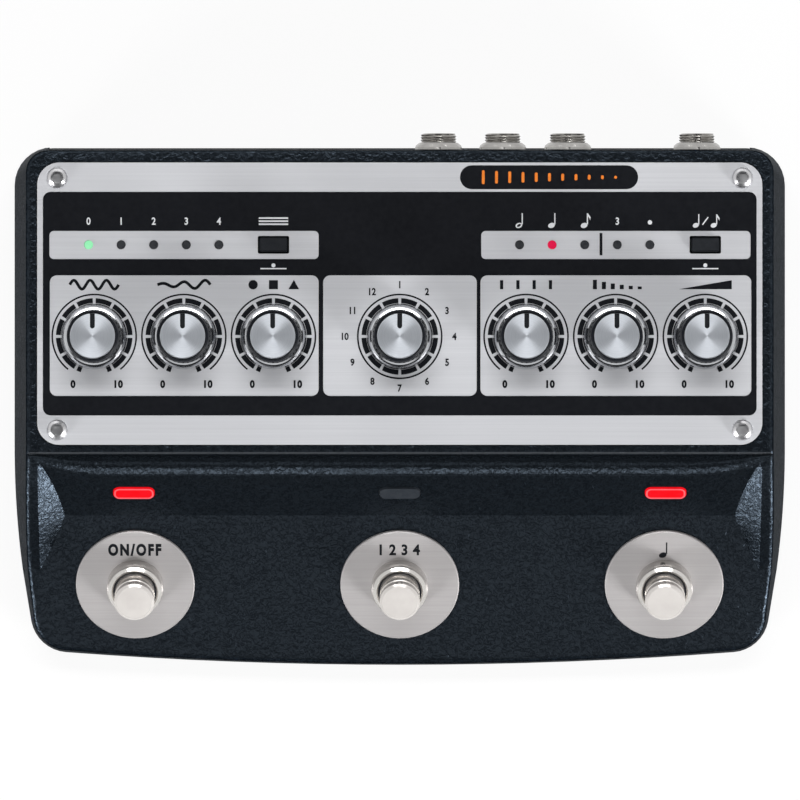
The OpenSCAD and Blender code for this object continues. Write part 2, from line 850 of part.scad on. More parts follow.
module key_switches() {
    color([0.15, 0.15, 0.16])
        for (k = KEYS) translate([k[1], light_y, board_top]) difference() {
            translate([-switch_w / 2, -switch_w / 2, 0]) cube([switch_w, switch_w, switch_h]);
            translate([0, 0, switch_h - well_depth]) rod(well_depth + past, key_stem_r + stem_room);
        }
}

// Lights and lamps

light_proud = 0.15;
light_base_w = 0.6;
light_base_h = 5;

module light_pins(xs) {
    for (x = xs) translate([x, light_y, board_top]) {
        rod(light_base_h, light_d / 2 + light_base_w);
        rod(panel_z + light_proud - board_top, light_d / 2);
    }
}

module green_light() { color([0.5, 1, 0.65]) light_pins(LIT_GREEN); }
module red_light() { color([1, 0.1, 0.25]) light_pins(LIT_RED); }
module dark_lights() { color([0.25, 0.26, 0.28]) light_pins(UNLIT); }

lamp_l = 9;
lens_l = 5;
lens_edge = 0.25;
lamp_corner_r = lamp_h / 2 - 0.3;

module lamp_outline(grow) {
    round_rect(lamp_w + 2 * grow, lamp_h + 2 * grow, lamp_corner_r + grow);
}

module lamp(x) {
    on_slope(x) {
        translate([0, 0, -lens_l]) linear_extrude(lens_l) lamp_outline(0);
        linear_extrude(lamp_proud) lamp_outline(-lens_edge);
    }
}

module red_lamps() { color([1, 0.05, 0.1]) for (s = [-1, 1]) lamp(s * foot_x); }
module dark_lamp() { color([0.22, 0.24, 0.27]) lamp(0); }

// Foot switches, each upright on the deck

switch_bush_r = 6;
switch_body_w = 14;
switch_body_h = 6.4;
switch_wall = 1;
plunger_r = plunger_d / 2;
plunger_flange_t = 0.9;
plunger_flange_w = 0.7;
flange_room = 0.4;
mouth_room = 0.45;
collar_top_t = 1.1;
bush_top = disc_t + collar_h - collar_top_t - fit_play;
// Underside of the casting square to the deck, with the play under it
deck_upright = deck_wall * cos(deck_tilt) + fit_play;
switch_low = -deck_upright - switch_body_h;

module foot_discs() {
    edge = 0.25;
    r = disc_d / 2;
    inner = switch_bush_r + fit_play;
    color([0.73, 0.71, 0.7])
        for (f = FEET) on_deck(f[1])
            rotate_extrude()
                polygon([[inner, 0], [r, 0], [r, disc_t - edge], [r - edge, disc_t], [inner, disc_t]]);
}

module foot_collars() {
    r = collar_d / 2;
    bore = switch_bush_r + fit_play;
    mouth = plunger_r + mouth_room;
    under = collar_h - collar_top_t;
    // Rounded shoulder, as steps in from the rim and down from the top
    shoulder = [[0, 1.5], [0.35, 0.6], [1, 0]];
    bevel = 0.35;
    color([0.8, 0.79, 0.78])
        for (f = FEET) on_deck(f[1]) translate([0, 0, disc_t])
            rotate_extrude()
                polygon(concat(
                    [[bore, 0], [r, 0]],
                    [for (s = shoulder) [r - s.x, collar_h - s.y]],
                    [[mouth + bevel, collar_h], [mouth, collar_h - bevel], [mouth, under], [bore, under]]
                ));
}

module foot_switches() {
    color([0.16, 0.2, 0.3])
        for (f = FEET) on_deck(f[1]) difference() {
            union() {
                translate([-switch_body_w / 2, -switch_body_w / 2, switch_low])
                    cube([switch_body_w, switch_body_w, switch_body_h]);
                translate([0, 0, switch_low]) rod(bush_top - switch_low, switch_bush_r);
            }
            translate([0, 0, switch_low + switch_wall]) {
                rod(bush_top - switch_low, plunger_r + run_play);
                rod(switch_body_h - 2 * switch_wall, plunger_r + plunger_flange_w + flange_room);
            }
        }
}

module plunger(x) {
    edge = 0.6;
    neck = 0.2;
    neck_low = 2.6;
    neck_high = 2;
    top = disc_t + plunger_h;
    flange_top = -deck_upright - switch_wall - 0.3;
    flange_low = flange_top - plunger_flange_t;
    flange_r = plunger_r + plunger_flange_w;
    color([0.86, 0.84, 0.82])
        on_deck(x)
            rotate_extrude()
                polygon([
                    [0, flange_low], [flange_r, flange_low],
                    [flange_r, flange_top], [plunger_r, flange_top],
                    [plunger_r, top - neck_low - neck], [plunger_r - neck, top - neck_low],
                    [plunger_r - neck, top - neck_high], [plunger_r, top - neck_high + neck],
                    [plunger_r, top - edge], [plunger_r - edge, top], [0, top]
                ]);
}

// Sockets at the rear

bush_r = bush_d / 2;
// The bushes reach as far back as the front edge reaches forward
bush_out = case_front - rear_panel_y;
plug_room = 0.1;
bush_bore_r = plug_d / 2 + plug_room;
mini_bush_r = 3;
mini_bore_r = mini_plug_d / 2 + plug_room;
power_bush_r = 4.2;
housing_face = rear_panel_y - rear_panel_t;
housing_w = 13;
housing_l = 28;
housing_end = 2;
housing_h = 2 * (socket_z - main_top);

module socket_bushes() {
    chamfer = 0.5;
    mouth = 0.3;
    l = bush_out + rear_panel_t;
    color([0.7, 0.68, 0.64])
        for (x = socket_x) to_rear(x) translate([0, 0, -rear_panel_t])
            rotate_extrude()
                polygon([
                    [bush_bore_r, 0], [bush_r, 0], [bush_r, l - chamfer], [bush_r - chamfer, l],
                    [bush_bore_r + mouth, l], [bush_bore_r, l - mouth]
                ]);
}

module socket_nuts() {
    corner_r = nut_af / sqrt(3);
    corner_cut = 0.55;
    color([0.66, 0.64, 0.6])
        for (x = socket_x) to_rear(x) difference() {
            intersection() {
                cylinder(nut_t, corner_r, corner_r, $fn = 6);
                cylinder(2 * nut_t, corner_r + nut_t - corner_cut, corner_r - nut_t - corner_cut);
            }
            translate([0, 0, -past]) rod(nut_t + 2 * past, bush_r + fit_play);
        }
}

// Moulded box on the main board behind the rear panel
module board_box(x, w, l, h) {
    translate([x - w / 2, housing_face - l, main_top]) cube([w, l, h]);
}

module socket_housings() {
    color([0.08, 0.08, 0.09])
        for (x = socket_x) difference() {
            board_box(x, housing_w, housing_l, housing_h);
            to_rear(x)
                translate([0, 0, housing_end - rear_panel_t - housing_l])
                    rod(housing_l, bush_bore_r);
        }
}

mini_stand = 0.6;

module mini_sockets() {
    box_w = 8;
    box_l = 12;
    color([0.1, 0.1, 0.11])
        for (x = mini_x) difference() {
            union() {
                board_box(x, box_w, box_l, socket_z - main_top + box_w / 2);
                to_rear(x) translate([0, 0, -rear_panel_t]) rod(rear_panel_t + mini_stand, mini_bush_r);
            }
            to_rear(x) translate([0, 0, -box_l]) rod(box_l + mini_stand + past, mini_bore_r);
        }
}

module power_inlet() {
    box_w = 9.4;
    box_l = 13;
    pin_r = 1;
    hole_r = power_plug_d / 2 + 2 * plug_room;
    depth = 9;
    color([0.06, 0.06, 0.07]) {
        difference() {
            union() {
                board_box(power_x, box_w, box_l, socket_z - main_top + box_w / 2);
                to_rear(power_x) translate([0, 0, -rear_panel_t]) rod(rear_panel_t, power_bush_r);
            }
            to_rear(power_x) translate([0, 0, -depth]) rod(depth + past, hole_r);
        }
        to_rear(power_x) translate([0, 0, -depth - past]) rod(depth, pin_r);
    }
}

// Boards

panel_board_x = knob_x + 2 * knob_pitch + pot_w / 2 + 1.5;
panel_board_front = -2.5;
panel_board_rear = light_y + 8;
main_board_in = 16;
main_board_x = half_w - main_board_in;
main_board_front = -8;
board_screw_l = 5;
posts_at = [
    for (
        x = [-main_board_x + post_inset, 0, main_board_x - post_inset],
        y = [main_board_front + post_inset, housing_face - housing_l - post_inset]
    ) [x, y]
];

module panel_board() {
    color([0.1, 0.35, 0.2])
    difference() {
        translate([-panel_board_x, panel_board_front, board_low])
            cube([2 * panel_board_x, panel_board_rear - panel_board_front, board_t]);
        at_each(board_screws_at, board_low - past) rod(board_t + 2 * past, screw_hole_r);
    }
}

module board_screws() {
    color([0.7, 0.7, 0.7])
        at_each(board_screws_at, board_low) {
            rod(board_screw_l - fit_play, screw_r);
            translate([0, 0, -screw_head_h]) rod(screw_head_h, screw_head_r);
        }
}

module main_board() {
    color([0.1, 0.3, 0.22])
        translate([-main_board_x, main_board_front, main_low])
            cube([2 * main_board_x, housing_face - main_board_front - fit_play, board_t]);
}

ribbon_x = 40;
ribbon_y = 6;
ribbon_w = 24;
ribbon_t = 0.6;
header_h = 3;
header_d = 4;
header_end = 2;
header_floor = 1;

// Header that takes one end of the ribbon, its slot opening upwards
module ribbon_header() {
    slot_y = (header_d - ribbon_t) / 2 - fit_play;
    difference() {
        cube([ribbon_w + 2 * header_end, header_d, header_h]);
        translate([header_end - fit_play, slot_y, header_floor])
            cube([ribbon_w + 2 * fit_play, ribbon_t + 2 * fit_play, header_h]);
    }
}

module board_chips() {
    chip = [10, 6, 1.6];
    big_chip = [16, 16, 1.8];
    chip_pitch = 13;
    chip_count = 8;
    chip_gap = 4;
    row_x = -(chip_count - 1) / 2 * chip_pitch;
    row_y = housing_face - housing_l - chip.y - chip_gap;
    header_x = -ribbon_x - ribbon_w / 2 - header_end;
    color([0.05, 0.05, 0.06]) {
        for (i = [0:chip_count - 1])
            translate([row_x + i * chip_pitch - chip.x / 2, row_y, main_top]) cube(chip);
        translate([-big_chip.x / 2, ribbon_y - big_chip.y / 2, main_top]) cube(big_chip);
        translate([header_x, ribbon_y - header_d / 2, main_top]) ribbon_header();
        translate([header_x, ribbon_y + header_d / 2, board_low]) rotate([180, 0, 0]) ribbon_header();
    }
}

module ribbon_cable() {
    color([0.75, 0.75, 0.72])
        translate([-ribbon_x - ribbon_w / 2, ribbon_y - ribbon_t / 2, main_top + header_floor])
            cube([ribbon_w, ribbon_t, board_low - main_top - 2 * header_floor]);
}

// Assembly

upper_case();
bottom_cover();
rear_panel();
rubber_feet();
cover_screws();
front_panel();
panel_screws();
for (k = KNOBS) {
    knob_skirt(k[1]);
    knob_grip(k[1]);
    knob_cap(k[1]);
    knob_shaft(k[1]);
}
for (f = FEET) plunger(f[1]);
foot_discs();
foot_collars();
foot_switches();
for (k = KEYS) key(k[1]);
key_switches();
green_light();
red_light();
dark_lights();
red_lamps();
dark_lamp();
socket_bushes();
socket_nuts();
socket_housings();
mini_sockets();
power_inlet();
control_bodies();
panel_board();
board_screws();
main_board();
board_chips();
ribbon_cable();
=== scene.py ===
import json
import math

import bmesh
import bpy
from mathutils import Matrix, Vector


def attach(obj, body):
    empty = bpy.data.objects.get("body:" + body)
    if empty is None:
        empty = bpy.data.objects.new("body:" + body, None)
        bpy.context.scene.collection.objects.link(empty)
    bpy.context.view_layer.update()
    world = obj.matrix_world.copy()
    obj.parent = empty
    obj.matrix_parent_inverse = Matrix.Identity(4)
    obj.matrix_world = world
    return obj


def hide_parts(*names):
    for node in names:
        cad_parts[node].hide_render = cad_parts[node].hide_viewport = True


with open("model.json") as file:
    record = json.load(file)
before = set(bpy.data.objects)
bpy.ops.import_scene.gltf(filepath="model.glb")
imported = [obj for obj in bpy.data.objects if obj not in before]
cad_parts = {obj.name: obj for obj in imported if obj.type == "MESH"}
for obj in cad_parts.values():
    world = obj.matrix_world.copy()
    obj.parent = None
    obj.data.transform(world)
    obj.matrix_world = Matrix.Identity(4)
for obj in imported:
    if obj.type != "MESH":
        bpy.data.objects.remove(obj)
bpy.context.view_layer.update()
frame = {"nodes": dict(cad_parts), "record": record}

MM = 0.001

# Places on the unit, in millimetres, as the solids have them
PANEL_TOP = 38.4
KNOB_ROW = 15.6
KNOBS = {"rate": -75, "depth": -53, "variation": -31, "mode": 0, "time": 31, "feedback": 53, "level": 75}
MODE_WAYS = 12
KEYS = ("variation", "level")
LIGHT_ROW = 38.1
LEFT_LIGHTS = [-76.4 + 8 * i for i in range(5)]
RIGHT_LIGHTS = [29.4 + 8 * i for i in range(5)]
FEET = {"left": -65.5, "centre": 0, "right": 65.5}
FOOT_ROW = -45.5
DECK_Y, DECK_Z = -28.5, 25.4
DECK_TILT = math.radians(24.5)
DECK_HEIGHT = DECK_Z + (FOOT_ROW - DECK_Y) * math.tan(DECK_TILT)
DISC_T = 1.0
LAMP_ROW, LAMP_HEIGHT = -22.9, 30.418
LAMP_TILT = math.radians(42.0)
SOCKETS = [9.6, 25.5, 41.6, 73.6]
SOCKET_Z = 17

# Edges of the casting: the lip behind the groove, and the ridge before it, whose ends bend back
GROOVE_HALF_W = 91.6
LIP_FROM_Y, LIP_TO_Y, LIP_LEAST_Z = -13.33, -12.77, 37.4
RIDGE_Y, RIDGE_LEAST_Z = -18.7, 33
RIDGE_FROM, RIDGE_TO = -0.03, 0.53
RIDGE_STRAIGHT_X, RIDGE_END_X, RIDGE_BEND = 72, 91.5, 4.22
BOWL_HALF_W = 89.05
BOWL_BELOW_DECK = 0.3

# Print lies in two layers, each as thick as INK
INK = 0.03
GROUND, OVERPRINT = 0, 1


# Small modelling steps

def deselect():
    if bpy.context.object and bpy.context.object.mode != "OBJECT":
        bpy.ops.object.mode_set(mode="OBJECT")
    bpy.ops.object.select_all(action="DESELECT")


def pick(obj):
    deselect()
    obj.select_set(True)
    bpy.context.view_layer.objects.active = obj


def new_object(name, data):
    obj = bpy.data.objects.new(name, data)
    bpy.context.scene.collection.objects.link(obj)
    return obj


def settle(obj, matrix):
    """Puts a finished piece's place into its mesh, so its object stays at the origin."""
    obj.data.transform(matrix)
    obj.matrix_world = Matrix.Identity(4)
    obj.data.update()


def dress(obj, body, material):
    obj.data.materials.clear()
    obj.data.materials.append(material)
    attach(obj, body)


def joined(name, pieces):
    pick(pieces[0])
    for piece in pieces[1:]:
        piece.select_set(True)
    if len(pieces) > 1:
        bpy.ops.object.join()
    pieces[0].name = name
    return pieces[0]


def lifted(height):
    return Matrix.Translation((0, 0, height * MM))


def tilted_place(x, y, z, tilt):
    """Frame on a surface that slopes towards the front."""
    return Matrix.Translation(Vector((x, y, z)) * MM) @ Matrix.Rotation(tilt, 4, "X")


# Outlines, in millimetres

def full_turn(steps):
    return [2 * math.pi * i / steps for i in range(steps)]


def rounded_box(x0, x1, y0, y1, r, steps=6):
    corners = ((x1 - r, y1 - r), (x0 + r, y1 - r), (x0 + r, y0 + r), (x1 - r, y0 + r))
    points = []
    for quarter, (cx, cy) in enumerate(corners):
        for i in range(steps + 1):
            a = math.pi / 2 * (quarter + i / steps)
            points.append((cx + r * math.cos(a), cy + r * math.sin(a)))
    return points


def oval(cx, cy, rx, ry, turn, steps=28):
    points = []
    for a in full_turn(steps):
        x, y = rx * math.cos(a), ry * math.sin(a)
        points.append((
            cx + x * math.cos(turn) - y * math.sin(turn),
            cy + x * math.sin(turn) + y * math.cos(turn),
        ))
    return points


def round_dot(cx, cy, r, steps=28):
    return oval(cx, cy, r, r, 0, steps)


def ring_part(cx, cy, r0, r1, from_deg, to_deg, step_deg=3):
    """Part of a flat ring, its angles counted clockwise from the top."""
    n = max(2, int(abs(to_deg - from_deg) / step_deg))
    angles = [math.radians(90 - from_deg - (to_deg - from_deg) * i / n) for i in range(n + 1)]
    outer = [(cx + r1 * math.cos(a), cy + r1 * math.sin(a)) for a in angles]
    inner = [(cx + r0 * math.cos(a), cy + r0 * math.sin(a)) for a in reversed(angles)]
    return outer + inner


def stroke(path, width):
    """Line of an even width along a path."""
    left, right = [], []
    for i, (x, y) in enumerate(path):
        x0, y0 = path[max(i - 1, 0)]
        x1, y1 = path[min(i + 1, len(path) - 1)]
        d = math.hypot(x1 - x0, y1 - y0)
        nx, ny = -(y1 - y0) / d * width / 2, (x1 - x0) / d * width / 2
        left.append((x + nx, y + ny))
        right.append((x - nx, y - ny))
    return left + right[::-1]


def bar(x0, x1, y0, y1):
    return [(x0, y0), (x1, y0), (x1, y1), (x0, y1)]


def wave(x0, x1, y, turns, first, last, steps=48):
    """Wave line whose height goes from first to last."""
    path = []
    for i in range(steps + 1):
        s = i / steps
        height = (first + (last - first) * s) * math.sin(2 * math.pi * turns * s)
        path.append((x0 + (x1 - x0) * s, y + height))
    return path


def note_sign(x, y, kind, k=1.0):
    """Plain note of size k: open or filled head, stem, and a flag for the shortest."""
    head = (x - 0.15 * k, y - 1.25 * k)
    stem, top = x + 0.80 * k, y + 1.75 * k
    parts = [oval(*head, 0.85 * k, 0.62 * k, 0.35)]
    if kind == "half":
        parts.append(oval(*head, 0.55 * k, 0.30 * k, 0.55))
    parts.append(bar(x + 0.52 * k, stem, y - 1.05 * k, top))
    if kind == "eighth":
        flag = [(1.45, 0.75), (1.35, -0.05), (1.15, 0.55)]
        parts.append([(stem, top)] + [(x + a * k, y + b * k) for a, b in flag] + [(stem, y + 0.95 * k)])
    return parts


# Thin plates and turned rings

def flat_shape(name, outlines, thick=INK):
    """Thin plate from closed outlines; an outline inside another is a hole."""
    curve = bpy.data.curves.new(name, "CURVE")
    curve.dimensions = "2D"
    curve.fill_mode = "BOTH"
    curve.extrude = thick * MM / 2
    for outline in outlines:
        spline = curve.splines.new("POLY")
        spline.points.add(len(outline) - 1)
        for point, (x, y) in zip(spline.points, outline):
            point.co = (x * MM, y * MM, 0, 1)
        spline.use_cyclic_u = True
    pick(new_object(name, curve))
    bpy.ops.object.convert(target="MESH")
    return bpy.context.object


def text_shape(text, cx, cy, height, width_scale=0.86, weight=0.032, spacing=1.0):
    """Plain figures centred on a place, as a thin plate."""
    half_t = 0.01
    deselect()
    bpy.ops.object.text_add()
    obj = bpy.context.object
    obj.data.body = text
    obj.data.size = 1
    obj.data.offset = weight
    obj.data.space_character = spacing
    obj.data.align_x = "CENTER"
    obj.data.extrude = half_t
    bpy.ops.object.convert(target="MESH")
    obj = bpy.context.object
    xs = [v.co.x for v in obj.data.vertices]
    ys = [v.co.y for v in obj.data.vertices]
    k = height / (max(ys) - min(ys))
    centre = Matrix.Translation((-(min(xs) + max(xs)) / 2, -(min(ys) + max(ys)) / 2, 0))
    size = Matrix.Diagonal((k * width_scale * MM, k * MM, INK * MM / (2 * half_t), 1))
    settle(obj, Matrix.Translation(Vector((cx, cy, 0)) * MM) @ size @ centre)
    return obj


def lay_print(obj, layer, finish):
    """Lays a thin plate made round z = 0 on the panel, on the given layer of print."""
    settle(obj, lifted(PANEL_TOP + INK * (layer + 0.5)))
    dress(obj, "chassis", FINISH[finish])


def socket_ring(x, y, radii):
    """Points at these distances from a socket's axis, evenly round it."""
    turn = zip(radii, full_turn(len(radii)))
    return [(x + r * math.cos(a), y, SOCKET_Z + r * math.sin(a)) for r, a in turn]


def ring_solid(name, rings):
    """Closed solid of rings of points, each joined to the next and the last to the first."""
    solid = bmesh.new()
    loops = [[solid.verts.new(Vector(point) * MM) for point in ring] for ring in rings]
    for i, loop in enumerate(loops):
        after = loops[(i + 1) % len(loops)]
        for j in range(len(loop)):
            k = (j + 1) % len(loop)
            solid.faces.new((loop[j], loop[k], after[k], after[j]))
    bmesh.ops.recalc_face_normals(solid, faces=solid.faces)
    mesh = bpy.data.meshes.new(name)
    solid.to_mesh(mesh)
    solid.free()
    return new_object(name, mesh)


# Shader groups

def group_sockets(group, inputs, outputs):
    for name, kind, value in inputs:
        socket = group.interface.new_socket(name=name, in_out="INPUT", socket_type=kind)
        if value is not None:
            socket.default_value = value
    for name in outputs:
        group.interface.new_socket(name=name, in_out="OUTPUT", socket_type="NodeSocketFloat")
    return group.nodes.new("NodeGroupInput"), group.nodes.new("NodeGroupOutput")


def add(nodes, kind, **values):
    """Adds a node; a value named in_SOCKET goes to that socket, the rest are its properties."""
    node = nodes.new(kind)
    for key, value in values.items():
        if key.startswith("in_"):
            node.inputs[key[3:].replace("_", " ")].default_value = value
        else:
            setattr(node, key, value)
    return node


def add_math(nodes, operation, second=None):
    node = add(nodes, "ShaderNodeMath", operation=operation)
    if second is not None:
        node.inputs[1].default_value = second
    return node


def make_grain_group():
    """Leathery paint: Height is its relief of wrinkles and pits, Tone is low in its creases, which the
    paints darken as painted shade.
    """
    group = bpy.data.node_groups.new("stippled_paint", "ShaderNodeTree")
    given, out = group_sockets(
        group,
        [("Vector", "NodeSocketVector", None), ("Scale", "NodeSocketFloat", 700.0)],
        ["Height", "Tone"],
    )
    n, link = group.nodes, group.links.new
    wrinkle = add(n, "ShaderNodeTexNoise", in_Detail=2.0, in_Roughness=0.5, in_Distortion=0.8)
    coarser = add_math(n, "MULTIPLY", 0.55)
    pit = add(n, "ShaderNodeTexVoronoi", feature="SMOOTH_F1", in_Smoothness=0.6)
    ramp = add(n, "ShaderNodeMapRange", in_From_Min=0.05, in_From_Max=0.45, in_To_Min=0.55)
    relief = add_math(n, "MULTIPLY")
    link(given.outputs["Vector"], wrinkle.inputs["Vector"])
    link(given.outputs["Vector"], pit.inputs["Vector"])
    link(given.outputs["Scale"], wrinkle.inputs["Scale"])
    link(given.outputs["Scale"], coarser.inputs[0])
    link(coarser.outputs[0], pit.inputs["Scale"])
    link(pit.outputs["Distance"], ramp.inputs["Value"])
    link(wrinkle.outputs["Fac"], relief.inputs[0])
    link(ramp.outputs["Result"], relief.inputs[1])
    link(relief.outputs[0], out.inputs["Height"])

    # Tone: thin creases, darkened in the paints as painted shade
    centred = add_math(n, "SUBTRACT", 0.5)
    fold = add_math(n, "ABSOLUTE")
    crease = add(n, "ShaderNodeMapRange", in_From_Min=0.0, in_From_Max=0.07)
    link(wrinkle.outputs["Fac"], centred.inputs[0])
    link(centred.outputs[0], fold.inputs[0])
    link(fold.outputs[0], crease.inputs["Value"])
    link(crease.outputs["Result"], out.inputs["Tone"])
    return group


def make_brush_group():
    """Fine straight scratches along X."""
    group = bpy.data.node_groups.new("straight_brushing", "ShaderNodeTree")
    given, out = group_sockets(
        group,
        [
            ("Vector", "NodeSocketVector", None),
            ("Along", "NodeSocketFloat", 12.0),
            ("Across", "NodeSocketFloat", 2200.0),
        ],
        ["Streak", "Cloud"],
    )
    n, link = group.nodes, group.links.new
    split = add(n, "ShaderNodeSeparateXYZ")
    stretched = add(n, "ShaderNodeCombineXYZ")
    link(given.outputs["Vector"], split.inputs[0])
    for axis, factor in (("X", "Along"), ("Y", "Across"), ("Z", "Across")):
        scaled = add_math(n, "MULTIPLY")
        link(split.outputs[axis], scaled.inputs[0])
        link(given.outputs[factor], scaled.inputs[1])
        link(scaled.outputs[0], stretched.inputs[axis])
    streak = add(n, "ShaderNodeTexNoise", in_Scale=1.0, in_Detail=4.0, in_Roughness=0.65)
    cloud = add(n, "ShaderNodeTexNoise", in_Scale=18.0, in_Detail=2.0)
    link(stretched.outputs[0], streak.inputs["Vector"])
    link(given.outputs["Vector"], cloud.inputs["Vector"])
    link(streak.outputs["Fac"], out.inputs["Streak"])
    link(cloud.outputs["Fac"], out.inputs["Cloud"])
    return group


def make_smudge_group():
    """Faint uneven patches and specks, as handling leaves them."""
    group = bpy.data.node_groups.new("handling_marks", "ShaderNodeTree")
    given, out = group_sockets(
        group,
        [("Vector", "NodeSocketVector", None), ("Scale", "NodeSocketFloat", 220.0)],
        ["Patch", "Speck"],
    )
    n, link = group.nodes, group.links.new
    patch = add(n, "ShaderNodeTexNoise", in_Detail=4.0, in_Roughness=0.6)
    finer = add_math(n, "MULTIPLY", 8.0)
    speck = add(n, "ShaderNodeTexNoise", in_Detail=2.0)
    link(given.outputs["Vector"], patch.inputs["Vector"])
    link(given.outputs["Vector"], speck.inputs["Vector"])
    link(given.outputs["Scale"], patch.inputs["Scale"])
    link(given.outputs["Scale"], finer.inputs[0])
    link(finer.outputs[0], speck.inputs["Scale"])
    link(patch.outputs["Fac"], out.inputs["Patch"])
    link(speck.outputs["Fac"], out.inputs["Speck"])
    return group


GRAIN = make_grain_group()
BRUSH = make_brush_group()
SMUDGE = make_smudge_group()


# Materials

def start_material(name, group, **inputs):
    """A material with one shared effect placed in it, on Object coordinates."""
    mat = bpy.data.materials.new(name)
    mat.use_nodes = True
    nodes = mat.node_tree.nodes
    shader = nodes["Principled BSDF"]
    place = nodes.new("ShaderNodeTexCoord")
    effect = nodes.new("ShaderNodeGroup")
    effect.node_tree = group
    mat.node_tree.links.new(place.outputs["Object"], effect.inputs["Vector"])
    for key, value in inputs.items():
        effect.inputs[key].default_value = value
    return mat, shader, effect


def new_mix(nodes, low=(0, 0, 0), high=(0, 0, 0)):
    """Colour mix: its sockets 0, 6 and 7 are the share and the two colours, and output 2 the result."""
    mix = add(nodes, "ShaderNodeMix", data_type="RGBA")
    mix.inputs[6].default_value = (*low, 1)
    mix.inputs[7].default_value = (*high, 1)
    return mix


def shade(mat, source, target, low, high, from_min=0.3, from_max=0.7):
    """Spreads a varying value between two colours or two numbers and feeds it to a socket."""
    nodes, link = mat.node_tree.nodes, mat.node_tree.links.new
    span = add(nodes, "ShaderNodeMapRange", in_From_Min=from_min, in_From_Max=from_max)
    link(source, span.inputs["Value"])
    if isinstance(low, tuple):
        mix = new_mix(nodes, low, high)
        link(span.outputs["Result"], mix.inputs[0])
        link(mix.outputs[2], target)
    else:
        span.inputs["To Min"].default_value = low
        span.inputs["To Max"].default_value = high
        link(span.outputs["Result"], target)


def bump(mat, shader, source, strength, distance):
    node = add(mat.node_tree.nodes, "ShaderNodeBump", in_Strength=strength, in_Distance=distance)
    mat.node_tree.links.new(source, node.inputs["Height"])
    mat.node_tree.links.new(node.outputs["Normal"], shader.inputs["Normal"])


def set_shader(shader, **values):
    for key, value in values.items():
        shader.inputs[key.replace("_", " ")].default_value = value


def make_case_paint():
    """Dark leathery paint, with painted shade in the creases of its grain and a painted highlight on the
    faces along the lip that an attribute marks.
    """
    # The first colour paints shade into the creases of the grain, the third paints a highlight along the
    # lip.
    crease_shade, raised, highlight_colour = (0.0076, 0.0098, 0.0128), (0.0186, 0.0236, 0.0297), (0.060, 0.066, 0.074)
    mat, shader, grain = start_material("case_paint", GRAIN, Scale=850.0)
    nodes, link = mat.node_tree.nodes, mat.node_tree.links.new
    # An attribute marks the faces along the lip, which get the painted highlight colour.
    edge = add(nodes, "ShaderNodeAttribute", attribute_name="painted_lip_highlight")
    highlit = new_mix(nodes, high=highlight_colour)
    shade(mat, grain.outputs["Tone"], highlit.inputs[6], crease_shade, raised, 0.0, 1.0)
    link(edge.outputs["Fac"], highlit.inputs[0])
    link(highlit.outputs[2], shader.inputs["Base Color"])
    shade(mat, grain.outputs["Tone"], shader.inputs["Roughness"], 0.42, 0.32, 0.0, 1.0)
    bump(mat, shader, grain.outputs["Height"], 1.0, 0.00022)
    set_shader(shader, Metallic=0.88, Specular_IOR_Level=0.0, Specular_Tint=(0.078, 0.101, 0.126, 1))
    return mat


def make_cover_paint():
    """Black paint of the bottom cover, with a finer and flatter grain and painted shade in its creases.
    """
    crease_shade, raised = (0.008, 0.008, 0.009), (0.014, 0.014, 0.016)
    mat, shader, grain = start_material("cover_paint", GRAIN, Scale=1400.0)
    # The first colour paints shade into the creases of the grain.
    shade(mat, grain.outputs["Tone"], shader.inputs["Base Color"], crease_shade, raised, 0.0, 1.0)
    shade(mat, grain.outputs["Tone"], shader.inputs["Roughness"], 0.56, 0.44, 0.0, 1.0)
    bump(mat, shader, grain.outputs["Height"], 0.2, 0.0003)
    set_shader(shader, Specular_IOR_Level=0.12)
    return mat


def make_brushed(name, low, high, metallic, roughness, along=12.0, across=2200.0):
    spread = 0.04
    mat, shader, brush = start_material(name, BRUSH, Along=along, Across=across)
    shade(mat, brush.outputs["Streak"], shader.inputs["Base Color"], low, high)
    shade(mat, brush.outputs["Cloud"], shader.inputs["Roughness"], roughness - spread, roughness + spread)
    bump(mat, shader, brush.outputs["Streak"], 0.05, 0.00006)
    set_shader(shader, Metallic=metallic)
    return mat


def make_plated(name, low, high, roughness, metallic=1.0):
    mat, shader, marks = start_material(name, SMUDGE, Scale=220.0)
    shade(mat, marks.outputs["Patch"], shader.inputs["Base Color"], low, high)
    shade(mat, marks.outputs["Patch"], shader.inputs["Roughness"], roughness * 0.8, roughness * 1.25)
    set_shader(shader, Metallic=metallic)
    return mat


def make_moulded(name, low, high, roughness, specular=0.12):
    spread = 0.06
    mat, shader, marks = start_material(name, SMUDGE, Scale=900.0)
    shade(mat, marks.outputs["Patch"], shader.inputs["Base Color"], low, high)
    shade(mat, marks.outputs["Patch"], shader.inputs["Roughness"], roughness - spread, roughness + spread)
    bump(mat, shader, marks.outputs["Speck"], 0.12, 0.0001)
    set_shader(shader, Specular_IOR_Level=specular)
    return mat


def make_lit(name, low, high, strength):
    """Lit lens: its own light makes up most of its colour."""
    mat, shader, marks = start_material(name, SMUDGE, Scale=320.0)
    dim_low, dim_high = (tuple(c * (1 - strength) for c in colour) for colour in (low, high))
    shade(mat, marks.outputs["Patch"], shader.inputs["Base Color"], dim_low, dim_high)
    shade(mat, marks.outputs["Patch"], shader.inputs["Emission Color"], low, high)
    set_shader(shader, Emission_Strength=strength, Roughness=0.35, Specular_IOR_Level=0.05)
    return mat


